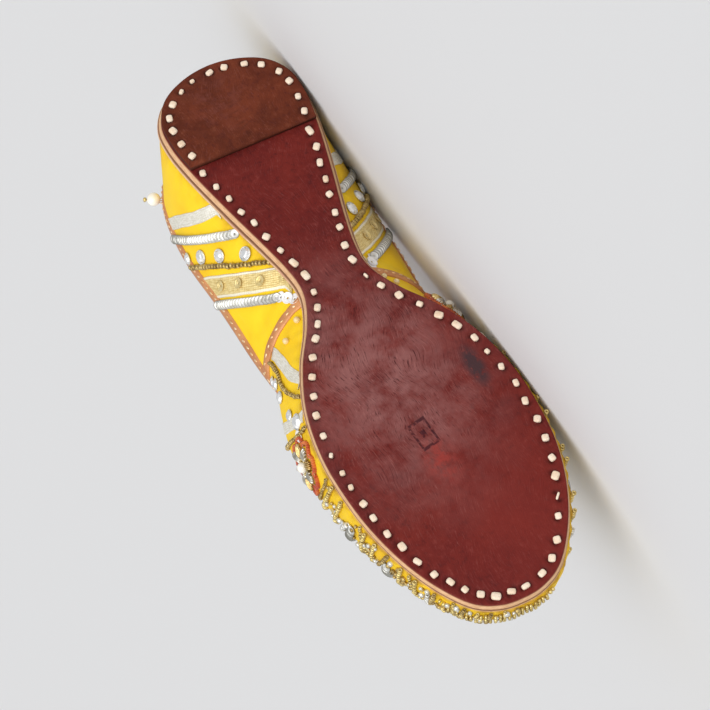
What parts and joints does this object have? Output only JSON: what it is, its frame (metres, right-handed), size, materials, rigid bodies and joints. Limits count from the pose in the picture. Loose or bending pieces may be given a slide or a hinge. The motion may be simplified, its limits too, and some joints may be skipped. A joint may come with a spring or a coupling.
{
  "type": "mojari shoe",
  "caption": "Child's flat mojari slip-on: oxblood stitched leather sole with narrow waist, hollow yellow embroidered upper, low collar, pearl at each side, lying on its side.",
  "frame": {"origin": "middle of the lying shoe's box, on the floor that it lies on", "axes": "X along the shoe with the heel at +X and the toe at -X, sole facing -Y, the wearer's left side up at +Z"},
  "size_m": [0.1672, 0.0406, 0.0548],
  "materials": {
    "heel_leather": "satin",
    "sole_leather": "satin",
    "edge_leather": "matte",
    "sock_leather": "matte",
    "upper_cloth": "satin",
    "pearl": "gloss"
  },
  "bodies": {
    "root": {"heel_lift": "heel_leather", "outsole": "sole_leather", "midsole": "edge_leather", "insole": "sock_leather", "upper": "upper_cloth", "pearl_left": "pearl", "pearl_right": "pearl"}
  },
  "joints": []
}
